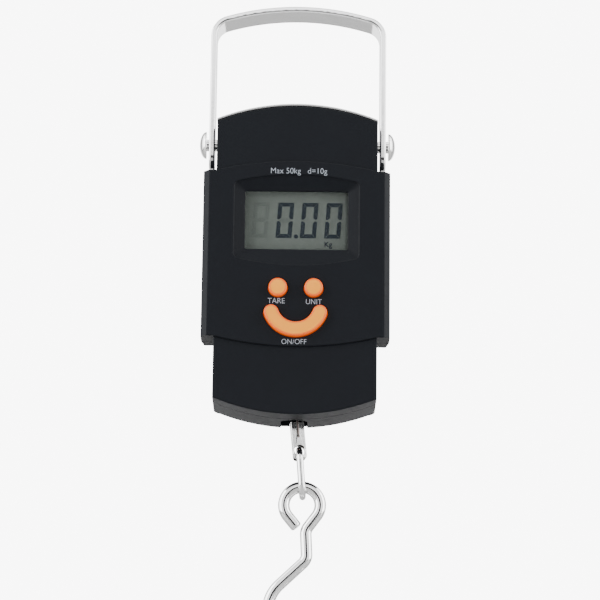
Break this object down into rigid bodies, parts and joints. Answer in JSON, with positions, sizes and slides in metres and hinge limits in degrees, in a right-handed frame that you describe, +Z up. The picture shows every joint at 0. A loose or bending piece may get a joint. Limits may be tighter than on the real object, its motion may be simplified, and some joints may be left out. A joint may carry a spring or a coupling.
{
  "type": "digital fish scale",
  "caption": "Slim hanging digital scale: dark plastic case with a display and a smile-shaped group of buttons, folding chrome bail handle, clevis, link and steel hook.",
  "frame": {"origin": "hand grip: middle of the underside of the handle's top bar, where the hand carries the scale", "axes": "+Z up along the hanging line, display and buttons face -Y, the back with the battery door faces +Y, +X to the right seen from the front"},
  "size_m": [0.0688, 0.0271, 0.2286],
  "materials": {
    "chrome": "bright polished plate",
    "case_plastic": "fine matt texture, blue-black",
    "button_plastic": "satin orange",
    "window": "clear, polished",
    "display": "grey-green display glass",
    "white_plastic": "matt white",
    "silicone": "matt grey",
    "board": "green solder mask",
    "epoxy": "black, glossy",
    "steel": "bare zinc-plated steel",
    "aluminium": "machined",
    "gauge_foil": "amber film",
    "battery_skin": "printed sleeve, blue"
  },
  "bodies": {
    "handle": {"handle_strap": "chrome"},
    "case": {"battery_contact_left": "steel", "battery_contact_right": "steel", "battery_lower": "battery_skin", "battery_upper": "battery_skin", "board_screw_lower_left": "steel", "board_screw_lower_right": "steel", "board_screw_upper_left": "steel", "board_screw_upper_right": "steel", "case_screw_lower_left": "steel", "case_screw_lower_right": "steel", "case_screw_upper_left": "steel", "case_screw_upper_right": "steel", "cell_screw_lower": "steel", "cell_screw_upper": "steel", "chip_cap": "epoxy", "circuit_board": "board", "contact_spring_lower": "steel", "contact_spring_upper": "steel", "display_frame": "white_plastic", "display_glass": "display", "display_window": "window", "front_cover": "case_plastic", "gauge_leads": "white_plastic", "handle_rivet_left": "chrome", "handle_rivet_right": "chrome", "hanger_plate": "steel", "load_cell": "aluminium", "load_pin": "steel", "rear_cover": "case_plastic", "rubber_keypad": "silicone", "strain_gauge_left": "gauge_foil", "strain_gauge_right": "gauge_foil", "top_yoke": "chrome", "zebra_strip": "silicone"},
    "tare_button": {"tare_button": "button_plastic"},
    "unit_button": {"unit_button": "button_plastic"},
    "power_button": {"power_button": "button_plastic"},
    "battery_door": {"battery_door": "case_plastic"},
    "load_stem": {"load_stem": "steel"},
    "clevis": {"clevis": "chrome"},
    "link_ring": {"link_ring": "chrome"},
    "hook": {"hook": "chrome"}
  },
  "joints": [
    {"name": "case_hinge", "type": "hinge", "parent": "handle", "child": "case", "pos_m": [0, 0, -0.0484], "axis": [1, 0, 0], "range_deg": [-110, 145]},
    {"name": "tare_press", "type": "slide", "parent": "case", "child": "tare_button", "axis": [0, 1, 0], "range_m": [0, 0.001], "stiffness_N_per_m": 400, "springref_m": -0.001},
    {"name": "unit_press", "type": "slide", "parent": "case", "child": "unit_button", "axis": [0, 1, 0], "range_m": [0, 0.001], "stiffness_N_per_m": 400, "springref_m": -0.001},
    {"name": "power_press", "type": "slide", "parent": "case", "child": "power_button", "axis": [0, 1, 0], "range_m": [0, 0.001], "stiffness_N_per_m": 400, "springref_m": -0.001},
    {"name": "door_pull", "type": "slide", "parent": "case", "child": "battery_door", "axis": [0, 1, 0], "range_m": [0, 0.012]},
    {"name": "stem_swing", "type": "hinge", "parent": "case", "child": "load_stem", "pos_m": [0, 0, -0.1397], "axis": [0, 1, 0], "range_deg": [-1.9, 14.1]},
    {"name": "clevis_swivel", "type": "hinge", "parent": "load_stem", "child": "clevis", "pos_m": [0, 0, -0.1397], "axis": [-0.1063, 0, 0.9943], "continuous": true},
    {"name": "link_swing", "type": "hinge", "parent": "clevis", "child": "link_ring", "pos_m": [0.00192, 0, -0.1577], "axis": [0, 1, 0], "range_deg": [-60, 60]},
    {"name": "hook_swing", "type": "hinge", "parent": "link_ring", "child": "hook", "pos_m": [0.00293, 0, -0.17024], "axis": [0.9997, 0, 0.0227], "range_deg": [-75, 75]}
  ]
}
